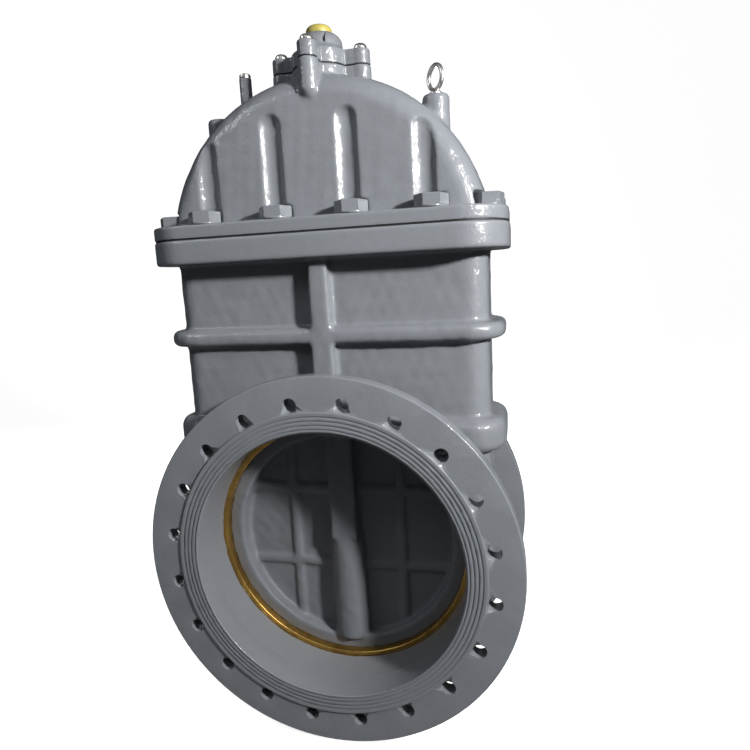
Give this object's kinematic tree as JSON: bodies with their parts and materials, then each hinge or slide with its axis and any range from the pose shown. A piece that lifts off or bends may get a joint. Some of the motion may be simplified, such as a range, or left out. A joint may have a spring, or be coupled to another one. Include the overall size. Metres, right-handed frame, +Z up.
{
  "type": "wedge gate valve",
  "caption": "Flanged wedge gate valve with a bolted arched bonnet, a non-rising stem under a plastic cap, brass seat rings and a ribbed wedge closing the port.",
  "frame": {"origin": "on the port axis, midway between the two end flange faces", "axes": "+Y along the port from the shown flange to the far one, +Z up along the stem, +X to the right seen from the shown flange"},
  "size_m": [0.8399, 0.39, 1.5715],
  "materials": {
    "grey_enamel": "gloss",
    "bolt_enamel": "gloss",
    "wedge_enamel": "satin",
    "brass": "satin",
    "stainless": "turned",
    "zinc": "plated",
    "rubber": "matte",
    "yellow_plastic": "moulded",
    "shoe_plastic": "moulded"
  },
  "bodies": {
    "valve": {"body": "grey_enamel", "front_seat_ring": "brass", "rear_seat_ring": "brass", "bonnet": "grey_enamel", "bonnet_gasket": "rubber", "bonnet_washers": "bolt_enamel", "bonnet_bolts": "bolt_enamel", "stem_bush": "brass", "thrust_washers": "brass", "top_cover": "grey_enamel", "cover_gasket": "rubber", "cover_bolts": "zinc", "stem_o_rings": "rubber", "dust_wiper": "rubber", "stem_cap": "yellow_plastic", "lifting_eye": "zinc", "vent_pipe": "grey_enamel", "vent_plug": "zinc"},
    "stem": {"stem": "stainless"},
    "wedge": {"wedge": "wedge_enamel", "front_facing_ring": "brass", "rear_facing_ring": "brass", "guide_shoes": "shoe_plastic", "stem_nut": "brass"}
  },
  "joints": [
    {"name": "stem_spin", "type": "hinge", "parent": "valve", "child": "stem", "pos_m": [0, 0, 0.7], "axis": [0, 0, 1], "range_deg": [0, 22325]},
    {"name": "wedge_lift", "type": "slide", "parent": "valve", "child": "wedge", "axis": [0, 0, 1], "range_m": [0, 0.62]}
  ],
  "couplings": [
    {"joint": "stem_spin", "follows": "wedge_lift", "rad_per_m": 628.32}
  ]
}
